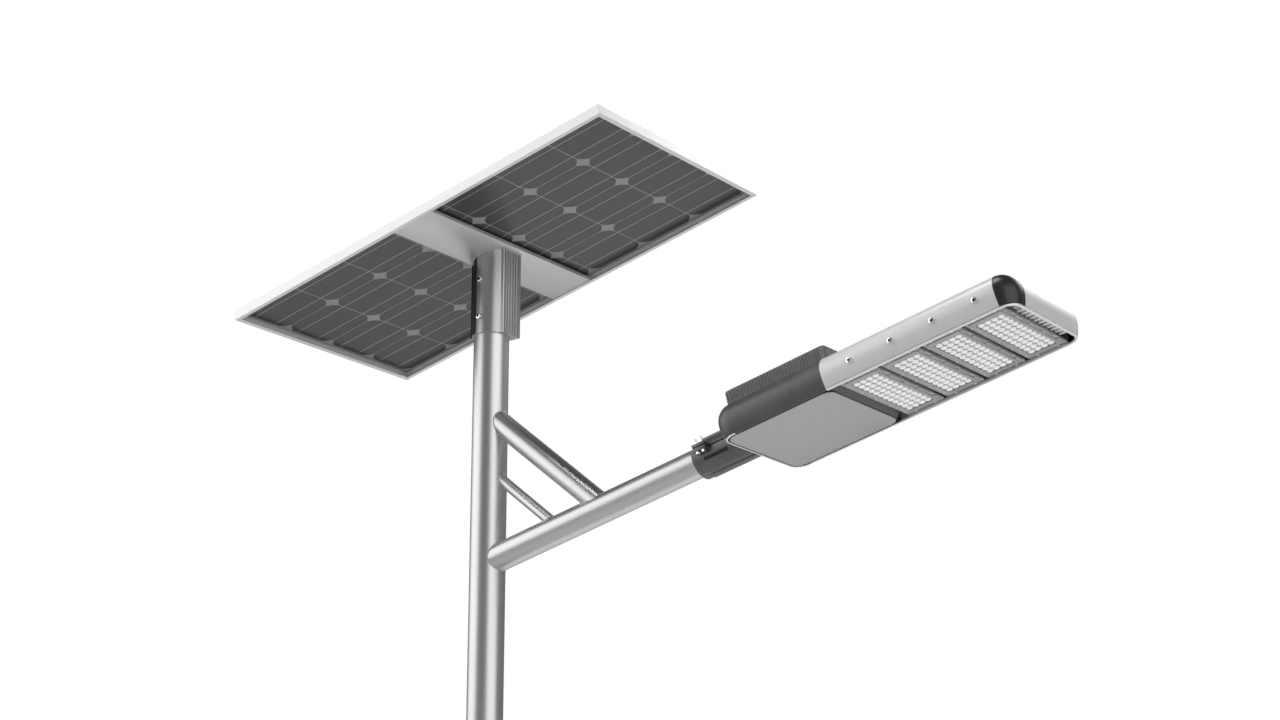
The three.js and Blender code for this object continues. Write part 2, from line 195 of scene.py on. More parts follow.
def pipe(axis, r, wall, a, b, edge=0.6, segments=96):
    inner = r - wall
    profile = [(r - edge, a), (r, a + edge), (r, b - edge), (r - edge, b),
               (inner + edge, b), (inner, b - edge), (inner, a + edge), (inner + edge, a)]
    return lathe(profile, axis, segments=segments, closed=True)


def block(s, y, n, edge=0.0, segments=2):
    rings = [[(s[0], y[0], h), (s[1], y[0], h), (s[1], y[1], h), (s[0], y[1], h)] for h in n]
    made = loft(rings)
    return bevel(made, edge, segments) if edge else made


def prism(outline, a, b, axis="n", edge=0.0, segments=2):
    """Outline raised along n, or drawn in s and n and run along y."""
    if axis == "n":
        rings = [[(x, y, h) for x, y in outline] for h in (a, b)]
    else:
        rings = [[(x, h, n) for x, n in outline] for h in (a, b)]
    made = loft(rings)
    return bevel(made, edge, segments) if edge else made


def rounded(s, y, r, steps=10):
    """Rectangle with round corners."""
    centres = [(s[1] - r, y[0] + r), (s[1] - r, y[1] - r), (s[0] + r, y[1] - r), (s[0] + r, y[0] + r)]
    return [(cx + r * math.cos(a), cy + r * math.sin(a))
            for i, (cx, cy) in enumerate(centres)
            for a in (math.radians(90 * (i - 1 + k / steps)) for k in range(steps + 1))]


def slab(s, y, n, r, edge, steps=10):
    """Plate with round corners and softened rims."""
    rings = []
    for inset, h in [(edge, n[0]), (edge * 0.3, n[0] + edge * 0.3), (0, n[0] + edge),
                     (0, n[1] - edge), (edge * 0.3, n[1] - edge * 0.3), (edge, n[1])]:
        outline = rounded((s[0] + inset, s[1] - inset), (y[0] + inset, y[1] - inset), r - inset, steps)
        rings.append([(x, w, h) for x, w in outline])
    return loft(rings)


def slab_of(axes, node, r, edge):
    """Such a plate that fills a CAD node's box."""
    low, high = span(axes, node)
    return slab((low.x, high.x), (low.y, high.y), (low.z, high.z), r, edge)


def grown(pair, by):
    return (pair[0] - by, pair[1] + by)


def rope(points, radius_at, sides=10):
    """Closed ring of round section along a closed curve."""
    rings = []
    count = len(points)
    for i, point in enumerate(points):
        along = (points[(i + 1) % count] - points[i - 1]).normalized()
        side = along.cross(Vector((0, 0, 1)) if abs(along.z) < 0.9 else Vector((1, 0, 0))).normalized()
        up = side.cross(along)
        r = radius_at(i / count)
        rings.append([point + (side * math.cos(a) + up * math.sin(a)) * r
                      for a in (math.tau * k / sides for k in range(sides))])
    return loft(rings, closed=True)


# ---- materials ---------------------------------------------------------------
def shade(tree, kind, **values):
    node = tree.nodes.new(kind)
    for key, value in values.items():
        setattr(node, key, value)
    return node


def grey(value, tint=(1, 1, 1)):
    return (value * tint[0], value * tint[1], value * tint[2], 1)


def finish_of(name, dark, light, rough, metallic=0.0, scale=8, stretch=(1, 1, 1), turn=0.0,
              drawn=False, grain_scale=900, relief=0.0, tint=(1, 1, 1), **constants):
    """Principled material whose colour and roughness wander between two values.

    The pattern is noise in the row's axes, turned about y and stretched along a rolling
    direction. A finer noise gives the relief, and drawn stretches that one too.
    """
    made = bpy.data.materials.new(name)
    made.use_nodes = True
    tree = made.node_tree
    link = tree.links.new
    shader = tree.nodes["Principled BSDF"]
    place_node = shade(tree, "ShaderNodeTexCoord")
    mapping = shade(tree, "ShaderNodeMapping")
    mapping.inputs["Rotation"].default_value = (0, turn, 0)
    squeeze = shade(tree, "ShaderNodeMapping")
    squeeze.inputs["Scale"].default_value = stretch
    link(place_node.outputs["Object"], mapping.inputs["Vector"])
    link(mapping.outputs["Vector"], squeeze.inputs["Vector"])
    broad = shade(tree, "ShaderNodeTexNoise")
    broad.inputs["Scale"].default_value = scale
    broad.inputs["Detail"].default_value = 6
    link(squeeze.outputs["Vector"], broad.inputs["Vector"])
    ramp = shade(tree, "ShaderNodeValToRGB")
    ramp.color_ramp.elements[0].position = 0.3
    ramp.color_ramp.elements[1].position = 0.7
    ramp.color_ramp.elements[0].color = grey(dark, tint)
    ramp.color_ramp.elements[1].color = grey(light, tint)
    link(broad.outputs["Fac"], ramp.inputs["Fac"])
    link(ramp.outputs["Color"], shader.inputs["Base Color"])
    spread = shade(tree, "ShaderNodeMapRange")
    spread.inputs["From Min"].default_value = 0.3
    spread.inputs["From Max"].default_value = 0.7
    spread.inputs["To Min"].default_value = rough[0]
    spread.inputs["To Max"].default_value = rough[1]
    link(broad.outputs["Fac"], spread.inputs["Value"])
    link(spread.outputs["Result"], shader.inputs["Roughness"])
    if relief:
        fine = shade(tree, "ShaderNodeTexNoise")
        fine.inputs["Scale"].default_value = grain_scale
        fine.inputs["Detail"].default_value = 2
        link(squeeze.outputs["Vector"] if drawn else mapping.outputs["Vector"], fine.inputs["Vector"])
        bump = shade(tree, "ShaderNodeBump")
        bump.inputs["Strength"].default_value = relief
        bump.inputs["Distance"].default_value = 0.2 * MM
        link(fine.outputs["Fac"], bump.inputs["Height"])
        link(bump.outputs["Normal"], shader.inputs["Normal"])
    shader.inputs["Metallic"].default_value = metallic
    for socket, value in constants.items():
        shader.inputs[socket.replace("_", " ")].default_value = value
    return made


DRAWN_S = (1, 24, 24)  # streaks along the arm or the panel
DRAWN_Y = (24, 1, 24)
DRAWN_Z = (24, 24, 1)
PAINTS = {
    "pole_steel": finish_of("pole_steel", 0.6, 0.63, (0.36, 0.38), 1.0, 6, DRAWN_Z, drawn=True, relief=0.01,
                            grain_scale=100),
    "arm_steel": finish_of("arm_steel", 0.6, 0.63, (0.34, 0.36), 1.0, 6, DRAWN_S, TILT, drawn=True,
                           relief=0.008, grain_scale=100),
    "brace_steel": finish_of("brace_steel", 0.6, 0.63, (0.34, 0.36), 1.0, 6, DRAWN_S, -STRUT_DROP, drawn=True,
                             relief=0.008, grain_scale=100),
    "base_steel": finish_of("base_steel", 0.5, 0.64, (0.28, 0.42), 1.0, 30, relief=0.2, grain_scale=300),
    "weld": finish_of("weld", 0.4, 0.6, (0.3, 0.5), 1.0, 120, relief=0.4, grain_scale=500),
    "strip": finish_of("strip", 0.63, 0.67, (0.38, 0.42), 0.6, 2.4, DRAWN_Y, TILT, drawn=True, relief=0.1,
                       grain_scale=60),
    "collar": finish_of("collar", 0.42, 0.5, (0.3, 0.4), 0.9, 2.4, DRAWN_Z, drawn=True, relief=0.15,
                        grain_scale=60),
    "frame": finish_of("frame", 0.76, 0.8, (0.34, 0.42), 0.55, 2.4, DRAWN_S, TILT, drawn=True, relief=0.05,
                       grain_scale=60),
    "stainless": finish_of("stainless", 0.82, 0.9, (0.1, 0.18), 1.0, 90, relief=0.05),
    "backsheet": finish_of("backsheet", 0.3, 0.31, (0.3, 0.32), 0.0, 3, relief=0.02),
    "cells_under": finish_of("cells_under", 0.048, 0.05, (0.28, 0.29), 0.0, 3, tint=(1, 1, 1.03)),
    "cells_top": finish_of("cells_top", 0.012, 0.02, (0.2, 0.28), 0.1, 30, tint=(0.8, 0.95, 1.5)),
    "busbar": finish_of("busbar", 0.5, 0.54, (0.3, 0.34), 0.3, 40),
    "busbar_top": finish_of("busbar_top", 0.5, 0.6, (0.25, 0.35), 0.9, 40),
    "black_plastic": finish_of("black_plastic", 0.012, 0.02, (0.4, 0.5), 0.0, 60, relief=0.25),
    "casting": finish_of("casting", 0.11, 0.13, (0.36, 0.42), 0.6, 40, relief=0.12, grain_scale=1500),
    "lid": finish_of("lid", 0.17, 0.2, (0.36, 0.42), 0.6, 40, relief=0.12, grain_scale=1500),
    "cap": finish_of("cap", 0.03, 0.04, (0.3, 0.36), 0.4, 40, relief=0.12, grain_scale=1500),
    "sleeve": finish_of("sleeve", 0.14, 0.17, (0.38, 0.44), 0.7, 40, relief=0.12, grain_scale=1500),
    "silver": finish_of("silver", 0.76, 0.79, (0.38, 0.42), 0.3, 40, relief=0.05, grain_scale=1500),
    "trim": finish_of("trim", 0.86, 0.9, (0.3, 0.36), 0.5, 40),
    "sink": finish_of("sink", 0.4, 0.5, (0.34, 0.46), 0.8, 20, relief=0.2),
    "module": finish_of("module", 0.4, 0.46, (0.32, 0.4), 0.5, 30, relief=0.2),
    "band": finish_of("band", 0.2, 0.22, (0.36, 0.42), 0.5, 30, relief=0.1),
    "board": finish_of("board", 0.75, 0.82, (0.4, 0.5), 0.0, 60, relief=0.05),
    "lens": finish_of("lens", 0.34, 0.4, (0.12, 0.16), 0.1, 60, Coat_Weight=1.0, Coat_Roughness=0.04),
    # Painted light: the domes glow faintly white (emission 0.16) to brighten them, on top of their white
    # base.
    "dome": finish_of("dome", 0.96, 1.0, (0.08, 0.12), 0.0, 60, Coat_Weight=1.0, Coat_Roughness=0.04,
                      Emission_Color=(1, 1, 1, 1), Emission_Strength=0.16),
    "battery": finish_of("battery", 0.2, 0.24, (0.3, 0.4), 0.0, 20, tint=(0.3, 0.8, 1.6), relief=0.1),
    "door": finish_of("door", 0.46, 0.48, (0.38, 0.42), 0.2, 30, relief=0.2, grain_scale=1400),
    # Near-black and matte: the far corner cap and its lining, and painted shade in the collar's dark strip,
    # the screw sockets, the door gap and the sleeve's slots.
    "black_and_painted_shade": finish_of("black_and_painted_shade", 0.008, 0.012, (0.5, 0.6), 0.0, 60, relief=0.2),
    "rubber": finish_of("rubber", 0.015, 0.022, (0.7, 0.8), 0.0, 60, relief=0.3),
    "glass": finish_of("glass", 0.96, 1.0, (0.02, 0.04), 0.0, 6, tint=(0.97, 1, 0.99),
                       Transmission_Weight=1.0, IOR=1.5),
    "label": finish_of("label", 0.7, 0.8, (0.3, 0.4), 0.5, 40),
}


def place(made, name, axes, body, paint, *nodes, smooth=35):
    """Sets a solid into the row frame, on its body, with its finish."""
    made.name = name
    made.data.name = name
    made.data.transform(Matrix.Scale(MM, 4) @ axes)
    made.data.materials.clear()
    made.data.materials.append(PAINTS[paint])
    made.data.shade_smooth()
    made.data.set_sharp_from_angle(angle=math.radians(smooth))
    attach(made, body)
    if nodes:
        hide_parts(*nodes)
    return made


# ---- pole, arm and struts ----------------------------------------------------
POLE_WALL = 4
ARM_R, ARM_WALL = 34.8, 3.5
STRUTS = {"upper_strut": (377.5, 28.4, 3), "lower_strut": (236.5, 13.7, 2.5)}  # rise, radius, wall


def pole():
    made = pipe("z", POLE_R, POLE_WALL, POLE_LOW.z, POLE_HIGH.z, segments=128)
    place(made, "pole", WORLD, "lamp_post", "pole_steel", "pole_tube")


def pole_clearance():
    return bar("z", POLE_R + GAP, 2500, POLE_HIGH.z, segments=128)


def base():
    low, high = span(WORLD, "base_flange")
    thick, anchor_at, anchor_r = 16, 115, 12
    plate = slab((low.x, high.x), (low.y, high.y), (low.z, thick), 12, 1.5)
    gusset = [(40, thick - 1), (132, thick - 1), (132, thick + 12), (60, high.z), (40, high.z)]
    for quarter in range(4):
        web = prism(gusset, -5, 5, "y", edge=1)
        join(plate, moved(web, Matrix.Rotation(quarter * math.pi / 2, 4, "Z")))
    cut(plate, bar("z", POLE_R + GAP, thick, high.z + 9))
    for x in (-anchor_at, anchor_at):
        for y in (-anchor_at, anchor_at):
            cut(plate, bar("z", anchor_r, -1, thick + 4, (x, y, 0), segments=40))
    place(plate, "base", WORLD, "lamp_post", "base_steel", "base_flange")


def strut_axes(rise, drop):
    return Matrix.Translation((0, 0, ARM.translation.z + rise)) @ Matrix.Rotation(drop, 4, "Y")


def bead(name, axes, radius, target, target_radius, towards, size):
    """Weld bead where a round tube lands on another: target's axis is its local x."""
    count = 240
    points = []
    into = target.inverted() @ axes
    for i in range(count):
        angle = math.tau * i / count
        origin = into @ Vector((0, radius * math.cos(angle), radius * math.sin(angle)))
        along = into.to_3x3() @ Vector((1, 0, 0))
        a = along.y ** 2 + along.z ** 2
        b = origin.y * along.y + origin.z * along.z
        c = origin.y ** 2 + origin.z ** 2 - target_radius ** 2
        root = math.sqrt(max(b * b - a * c, 0))
        points.append(target @ (origin + along * ((-b + towards * root) / a)))
    ripple = max(24, int(radius * 2))
    made = rope(points, lambda t: size * (1 + 0.1 * math.sin(math.tau * t * ripple)))
    place(made, name, WORLD, "lamp_post", "weld")


def arm():
    end = span(ARM, "arm_tube")[1].x
    upright = Matrix.Rotation(-math.pi / 2, 4, "Y")
    made = moved(pipe("x", ARM_R, ARM_WALL, 0, end), ARM)
    cut(made, pole_clearance())
    place(made, "arm", WORLD, "lamp_post", "arm_steel", "arm_tube")
    bead("arm_weld", ARM, ARM_R, upright, POLE_R, 1, 1.8)
    for name, (rise, radius, wall) in STRUTS.items():
        axes = strut_axes(rise, STRUT_DROP)
        length = rise / (math.tan(STRUT_DROP) + math.tan(TILT)) / math.cos(STRUT_DROP)
        tube = moved(pipe("x", radius, wall, 5, length), axes)
        cut(tube, pole_clearance())
        cut(tube, moved(bar("x", ARM_R + GAP, -200, end), ARM))
        place(tube, name.replace("_strut", "_brace"), WORLD, "lamp_post", "brace_steel", name)
        bead(name + "_weld_top", axes, radius, upright, POLE_R, 1, 1.5)
        bead(name + "_weld_foot", axes, radius, ARM, ARM_R, -1, 1.5)


# ---- panel -------------------------------------------------------------------
SET_SCREWS = ("collar_set_screw_upper", "collar_set_screw_lower")
COLLAR_LOW, COLLAR_HIGH = span(WORLD, "panel_collar")
FLANK_X, FLANK_Y = COLLAR_HIGH.x, (-20, COLLAR_HIGH.y)
GROOVE_X = FLANK_X - 3
RIDGES, RIDGE_PITCH = 6, 10.2
NOSE_R, COLLAR_BORE_R = 48.8, 44.9
COLLAR_TOP = COLLAR_HIGH.z + 60  # before the strip's slope cuts it off
SHADE_TURN = (206, 254)  # degrees of the nose that the painted shade strip covers


def above_strip():
    return moved(block((-400, 400), (-200, 200), (1.7, 300)), PANEL)


def nose_point(r, degrees):
    a = math.radians(degrees)
    return (r * math.cos(a), r * math.sin(a))


def collar():
    ridge = [(0, 3.0), (6.6, 3.0), (7.6, 1.2), (9.2, 1.2)]  # along the flank, out from GROOVE_X

    def ridges(side):
        return [(side * (GROOVE_X + out), FLANK_Y[0] + 3 + i * RIDGE_PITCH + along)
                for i in range(RIDGES) for along, out in ridge]

    outline = [(-GROOVE_X, FLANK_Y[0]), (GROOVE_X, FLANK_Y[0]), *ridges(1),
               (FLANK_X, FLANK_Y[1]), (-FLANK_X, FLANK_Y[1]), *reversed(ridges(-1))]
    made = prism(outline, COLLAR_LOW.z, COLLAR_TOP, edge=0.4)
    join(made, bar("z", NOSE_R, COLLAR_LOW.z, COLLAR_TOP, edge=0.5, segments=128))
    cut(made, bar("z", COLLAR_BORE_R, COLLAR_LOW.z - 1, COLLAR_TOP + 1, segments=128))
    cut(made, above_strip())
    for node in SET_SCREWS:
        ends = span(WORLD, node)
        cut(made, bar("y", 5.2, -60, -40, (0, 0, (ends[0].z + ends[1].z) / 2), segments=32))
    place(made, "collar", WORLD, "panel_assembly", "collar", "panel_collar")


# Painted shade: a near-black strip laid 0.6 mm proud over the left of the nose, and a slip of it along the
# flank's shoulder.
def collar_painted_shade():
    first, last = SHADE_TURN
    arc = [nose_point(NOSE_R + 0.6, a) for a in range(first, last + 1, 3)]
    arc += [nose_point(NOSE_R - 1, a) for a in range(last, first - 1, -3)]
    made = prism(arc, COLLAR_LOW.z + 0.4, COLLAR_TOP)
    join(made, block((-FLANK_X + 0.5, -43), (-21, -19), (COLLAR_LOW.z + 0.4, COLLAR_TOP)))
    place(cut(made, above_strip()), "collar_painted_shade", WORLD, "panel_assembly", "black_and_painted_shade")


def collar_weld():
    """Bead round the collar where it meets the sloping strip."""
    nose = [nose_point(NOSE_R, a) for a in range(207, 334, 3)]
    corners = [(FLANK_X, FLANK_Y[0]), (FLANK_X, FLANK_Y[1]), (-FLANK_X, FLANK_Y[1]), (-FLANK_X, FLANK_Y[0])]
    loop = [*nose]
    for a, b in zip(corners, corners[1:] + nose[:1]):
        loop += [(a[0] + (b[0] - a[0]) * i / 12, a[1] + (b[1] - a[1]) * i / 12) for i in range(12)]
    up = PANEL.to_3x3() @ Vector((0, 0, 1))
    seat = PANEL @ Vector((0, 0, 1))
    points = [Vector((x, y, seat.z - ((x - seat.x) * up.x + (y - seat.y) * up.y) / up.z)) for x, y in loop]
    made = rope(points, lambda t: 2.2 * (1 + 0.08 * math.sin(math.tau * t * 90)))
    place(made, "collar_weld", WORLD, "panel_assembly", "weld")


def socket_screw(name, axes, body, centre, side, head, node, shank=None):
    """Cap screw along y: head = (radius, face, seat) measured outwards from y = 0."""
    radius, face, seat = head
    x, n = centre
    profile = [(0.01, seat), (radius, seat), (radius, face - 1.2), (radius - 0.5, face - 0.3),
               (radius - 1.4, face), (0.01, face)]
    made = lathe(profile, "y", (x, 0, n), 48)
    cut(made, bar("y", radius * 0.5, face - 3.5, face + 1, (x, 0, n), segments=6))
    # Painted shade: a near-black plug sits 1 mm down in the hex socket to darken the recess.
    socket_shade = bar("y", radius * 0.5 - 0.1, face - 3.4, face - 1, (x, 0, n), segments=6)
    if shank:
        join(made, bar("y", shank[0], shank[1], seat + 0.5, (x, 0, n), 0.3, 32))
    if side < 0:
        for piece in (made, socket_shade):
            moved(piece, Matrix.Scale(-1, 4, (0, 1, 0)))
            piece.data.flip_normals()
    place(made, name, axes, body, "stainless", node)
    place(socket_shade, name + "_socket_shade", axes, body, "black_and_painted_shade")


def collar_screws():
    for node in SET_SCREWS:
        low, high = span(WORLD, node)
        centre = (0, (low.z + high.z) / 2)
        socket_screw(node.replace("collar_", ""), WORLD, "panel_assembly", centre, -1,
                     (7.5, -low.y, 49), node, (4.8, POLE_R + 0.3))


def cross_strip():
    low, high = span(PANEL, "cross_strip")
    thick = 2
    outline = [(low.x, low.z), (high.x, low.z), (high.x, high.z), (high.x - thick, high.z),
               (high.x - thick, low.z + thick), (low.x + thick, low.z + thick),
               (low.x + thick, high.z), (low.x, high.z)]
    made = prism(outline, low.y, high.y, "y", edge=0.6)
    cut(made, bar("z", 24, -5, 20, (-panel_shift(), 0, 0), segments=64))
    place(made, "strip", PANEL, "panel_assembly", "strip", "cross_strip")


def panel_shift():
    """How far the panel's centre stands ahead of the pole's axis, along the panel."""
    return (PANEL.inverted() @ Vector((0, 0, PANEL.translation.z))).x * -1


FRAME_WALL, FRAME_LIP, FRAME_H = 1.8, 12, 24.5
LEDGE = (16.4, 17.8, 22.8)  # under the ledge, on the ledge, under the top lip


def frame_bar(length):
    """Mitred frame bar along y, its outer face at x = 0."""
    wide, half_gap, soft = 9, GAP / 2, 0.5
    corner = [(0, soft), (soft, 0), (FRAME_LIP - soft, 0), (FRAME_LIP, soft), (FRAME_LIP, 1.6)]
    outline = [*corner, (FRAME_WALL + 0.8, 1.6), (FRAME_WALL, 2.4), (FRAME_WALL, LEDGE[0]),
               (wide, LEDGE[0]), (wide, LEDGE[1]), (FRAME_WALL, LEDGE[1]), (FRAME_WALL, LEDGE[2]),
               (wide, LEDGE[2]), (wide, FRAME_H - 0.3), (wide - 0.3, FRAME_H), (soft, FRAME_H),
               (0, FRAME_H - soft)]
    rings = [[(x, side * (length / 2 - x - half_gap), n) for x, n in outline] for side in (-1, 1)]
    return loft(rings)


def panel_frame():
    low, high = span(PANEL, *RAILS)
    length, width = high.x - low.x, high.y - low.y
    for node, turn, bar_length, offset in [
            ("frame_rail_low", 0, width, length), ("frame_rail_near", 90, length, width),
            ("frame_rail_high", 180, width, length), ("frame_rail_far", 270, length, width)]:
        made = frame_bar(bar_length)
        moved(made, Matrix.Rotation(math.radians(turn), 4, "Z") @ Matrix.Translation((-offset / 2, 0, 0)))
        place(made, node.replace("frame_rail", "frame"), PANEL, "panel_assembly", "frame", node)


CELLS = (7, 4)  # along s and y
CELL_PITCH = (166.2, 158.6)
CELL_GAP = 2.6
CELL_CORNER = (21, 24)
BUSBAR_Y = 36.5  # from a cell's middle


def cell(at, n):
    """Wafer outline: a rectangle with four cut, slightly bowed corners."""
    half = [(pitch - CELL_GAP) / 2 for pitch in CELL_PITCH]
    outline = []
    for sx, sy in [(1, -1), (1, 1), (-1, 1), (-1, -1)]:
        ends = [(half[0] - CELL_CORNER[0], half[1]), (half[0], half[1] - CELL_CORNER[1])]
        bow = [(ends[0][0] + ends[1][0]) / 2 + 1.8, (ends[0][1] + ends[1][1]) / 2 + 1.8]
        run = [ends[1], bow, ends[0]] if sx * sy > 0 else [ends[0], bow, ends[1]]
        outline += [(at[0] + sx * x, at[1] + sy * y) for x, y in run]
    return prism(outline, *n)


def cell_field(name, paint, bus_paint, cells_n, bus_n):
    spots = [((i - (CELLS[0] - 1) / 2) * CELL_PITCH[0], (k - (CELLS[1] - 1) / 2) * CELL_PITCH[1])
             for i in range(CELLS[0]) for k in range(CELLS[1])]
    place(gather(name, [cell(spot, cells_n) for spot in spots]), name, PANEL, "panel_assembly", paint)
    reach = CELLS[0] * CELL_PITCH[0] / 2 - 6
    ribbons = [block((-reach, reach), (y + side * BUSBAR_Y - 0.8, y + side * BUSBAR_Y + 0.8), bus_n)
               for y in sorted({spot[1] for spot in spots}) for side in (-1, 1)]
    place(gather(name + "_busbars", ribbons), name + "_busbars", PANEL, "panel_assembly", bus_paint)


def laminate():
    low, high = span(PANEL, "cell_laminate")
    sheet = slab((low.x, high.x), (low.y, high.y), (low.z, high.z), 2, 0.1)
    place(sheet, "backsheet", PANEL, "panel_assembly", "backsheet", "cell_laminate")
    cell_field("cells_under", "cells_under", "busbar", (low.z - 0.15, low.z - 0.02),
               (low.z - 0.22, low.z - 0.16))
    cell_field("cells_top", "cells_top", "busbar_top", (high.z + 0.02, high.z + 0.12),
               (high.z + 0.13, high.z + 0.18))


def cover_glass():
    pane = slab_of(PANEL, "panel_glass", 2, 0.4)
    place(pane, "cover_glass", PANEL, "panel_assembly", "glass", "panel_glass").visible_shadow = False


def cable_box():
    case = slab_of(PANEL, "junction_box", 6, 1.2)
    place(case, "cable_box", PANEL, "panel_assembly", "black_plastic", "junction_box")


# ---- head shell --------------------------------------------------------------
HEAD_LOW, HEAD_HIGH = span(ARM, "rear_housing", "front_wall", "side_rail_near", "side_rail_far")
RIM_N = HEAD_LOW.z
HOUSING_END = 1100
RAIL_END = 1543
CAP_Y, FAR_CAP_Y, RAIL_TOP_Y = 110, 150, 112
LINER_Y, LINER_T = 112, 2  # the far cap's black lining, inside the front wall
RIBS, RIB_PITCH = 11, 19.5  # inside the front wall
SHELL_T = 3
RIM_CORNER_R = 36
RIM_INSET = 9.0  # how far the side bulges beyond the rim


def profile_point(t):
    """Side section from the rim, t = 0, over the bulge to the roof, t = 1: (inset, n)."""
    knots = [(0, -48), (-3, -42), (-6.5, -30), (-9, -16), (-9, -2), (-6, 10), (0, 20), (9, 28.5),
             (20, 33.8), (32, 36.3), (44, 37)]
    last = len(knots) - 1
    i = min(int(t * last), last - 1)
    f = t * last - i
    p = [Vector(knots[min(max(i + k, 0), last)]) for k in (-1, 0, 1, 2)]
    return 0.5 * (2 * p[1] + (p[2] - p[0]) * f + (2 * p[0] - 5 * p[1] + 4 * p[2] - p[3]) * f ** 2
                  + (3 * p[1] - p[0] - 3 * p[2] + p[3]) * f ** 3)


HEAD_S = (HEAD_LOW.x + RIM_INSET, HEAD_HIGH.x - RIM_INSET)
HEAD_HALF = HEAD_HIGH.y - RIM_INSET


def shell_solid(inward, steps=44):
    points = [profile_point(i / steps) for i in range(steps + 1)]
    rings = []
    for i, point in enumerate(points):
        along = (points[min(i + 1, steps)] - points[max(i - 1, 0)]).normalized()
        d, n = point.x + inward * along.y, point.y - inward * along.x
        if i == 0:
            d, n = inward, RIM_N - (2 if inward > 0 else 0)
        outline = rounded((HEAD_S[0] + d, HEAD_S[1] - d), (-HEAD_HALF + d, HEAD_HALF - d),
                          max(RIM_CORNER_R - d, 6), 16)
        rings.append([(x, y, n) for x, y in outline])
    return loft(rings)


FULL_Y, FULL_N = (-200, 200), (-60, 60)
TRIM_N, TRIM_OUT, TRIM_IN = (RIM_N, RIM_N + 3.6), 0.8, 5.5
TRIM_REAR = 3.4  # narrower where the door's rear edge swings past
DOOR_HALF = 151
DOOR_SWEEP = (825.7, 860), grown((-DOOR_HALF, DOOR_HALF), GAP)  # where the open door crosses the foot
LEDGE_IN, LEDGE_START = 9.7, 1126  # grey step inside the lip, round the modules
shell_outer = shell_solid(0)
shell_inner = shell_solid(SHELL_T)
shell = cut(twin(shell_outer), twin(shell_inner))
hinge_axis = ARM.inverted() @ (Vector(joints["gear_door_hinge"]["pos_m"]) / MM)
HINGE_R = 3
OPENING_S, OPENING_Y = (hinge_axis.x + 21, 1086), (-138, 138)


def rear_housing():
    made = meet(twin(shell), block((700, HOUSING_END), FULL_Y, FULL_N))
    bulkhead = meet(twin(shell_outer), block((HOUSING_END - SHELL_T, HOUSING_END), FULL_Y, (-36, 60)))
    join(made, bulkhead)
    ledge = block((hinge_axis.x + 11, 1098), (-160, 160), (-42, -39))
    cut(ledge, block(OPENING_S, OPENING_Y, (-50, 0)))
    join(made, meet(ledge, twin(shell_outer)))
    boss_s = (hinge_axis.x - 7, hinge_axis.x + 7)
    for y in ((152, 168), (-168, -152)):
        join(made, meet(block(boss_s, y, (-44.5, -31)), twin(shell_outer)))
    cut(made, block((1080, HOUSING_END + 1), (-156, 156), (-60, -42)))
    cut(made, bar("y", HINGE_R + 0.2, -157, 157, (hinge_axis.x, 0, hinge_axis.z), segments=32))
    rear_hole = bar("x", 15, 780, 830, segments=40)
    roof_hole = bar("z", 12, 20, 50, (880, 60, 0), segments=40)
    cut(made, rear_hole)
    cut(made, roof_hole, trim_ring(GAP))
    place(made, "housing", ARM, "lamp_head", "casting", "rear_housing")


def slope_band():
    slope = [(1100.4, -41.2), (1121, -20), (1121, 34), (1118, 34), (1118, -18), (1100.4, -36)]
    band = meet(prism(slope, -146, 146, "y"), shell_solid(SHELL_T + GAP))
    place(band, "slope_band", ARM, "lamp_head", "band")


def rim_sheet(by, n, edge):
    return slab(grown(HEAD_S, by), grown((-HEAD_HALF, HEAD_HALF), by), n, RIM_CORNER_R + by, edge, 24)


def trim_ring(extra):
    """Lip round the foot of the head, left out where the housing's near side is bare."""
    rear = meet(rim_sheet(-TRIM_REAR - extra, (-60, -40), 0.1), block((700, 850), FULL_Y, FULL_N))
    ring = cut(rim_sheet(TRIM_OUT + extra, (TRIM_N[0] - extra, TRIM_N[1] + extra), 1.2),
               rim_sheet(-TRIM_IN - extra, (-60, -40), 0.1), rear, block(*DOOR_SWEEP, FULL_N))
    return cut(ring, block((HEAD_S[0] + 40 - extra, HOUSING_END + GAP - extra), (-200, 0), FULL_N))


def rim_trim():
    place(trim_ring(0), "rim_trim", ARM, "lamp_head", "trim")


def rim_ledge():
    ledge = cut(rim_sheet(-TRIM_IN - GAP, (-45, -42), 0.4), rim_sheet(-LEDGE_IN, (-60, -40), 0.1))
    cut(ledge, block((700, LEDGE_START), FULL_Y, FULL_N), block((RAIL_END, 1700), FULL_Y, FULL_N))
    place(ledge, "rim_ledge", ARM, "lamp_head", "module")


# Painted shade: a near-black strip fills the gap between the door's far edge and the rim.
def door_gap_shade():
    gap = block((832, HOUSING_END - 1), (DOOR_HALF + 2 * GAP, HEAD_HALF - TRIM_IN - GAP), (-46.6, -44.6))
    place(gap, "door_gap_shade", ARM, "lamp_head", "black_and_painted_shade")


def hinge_pin_end():
    pin = lathe([(0.01, -46.5), (2.9, -46.5), (2.9, -48.8), (2.3, -50), (1.2, -50.6), (0.01, -50.7)],
                "z", (HEAD_S[0] + 10.3, -HEAD_HALF + 11.4, 0), 40)
    place(pin, "hinge_pin_end", ARM, "lamp_head", "stainless")


ABOVE_TRIM = (TRIM_N[1] + GAP, FULL_N[1])
AHEAD = (RAIL_END + GAP, 1650)


def side_rails():
    for side, tag in SIDES:
        outside = (-200, -RAIL_TOP_Y) if side < 0 else (RAIL_TOP_Y, 200)
        rail = meet(twin(shell), block((HOUSING_END + GAP, RAIL_END), outside, ABOVE_TRIM))
        for k in MODULES:
            low, high = span(ARM, f"rail_screw_{tag}_{k}")
            centre = ((low.x + high.x) / 2, 0, (low.z + high.z) / 2)
            ends = (-190, -150) if side < 0 else (150, 190)
            cut(rail, bar("y", 3.2, *ends, centre, segments=32))
        place(rail, f"rail_{tag}", ARM, "lamp_head", "silver", f"side_rail_{tag}")


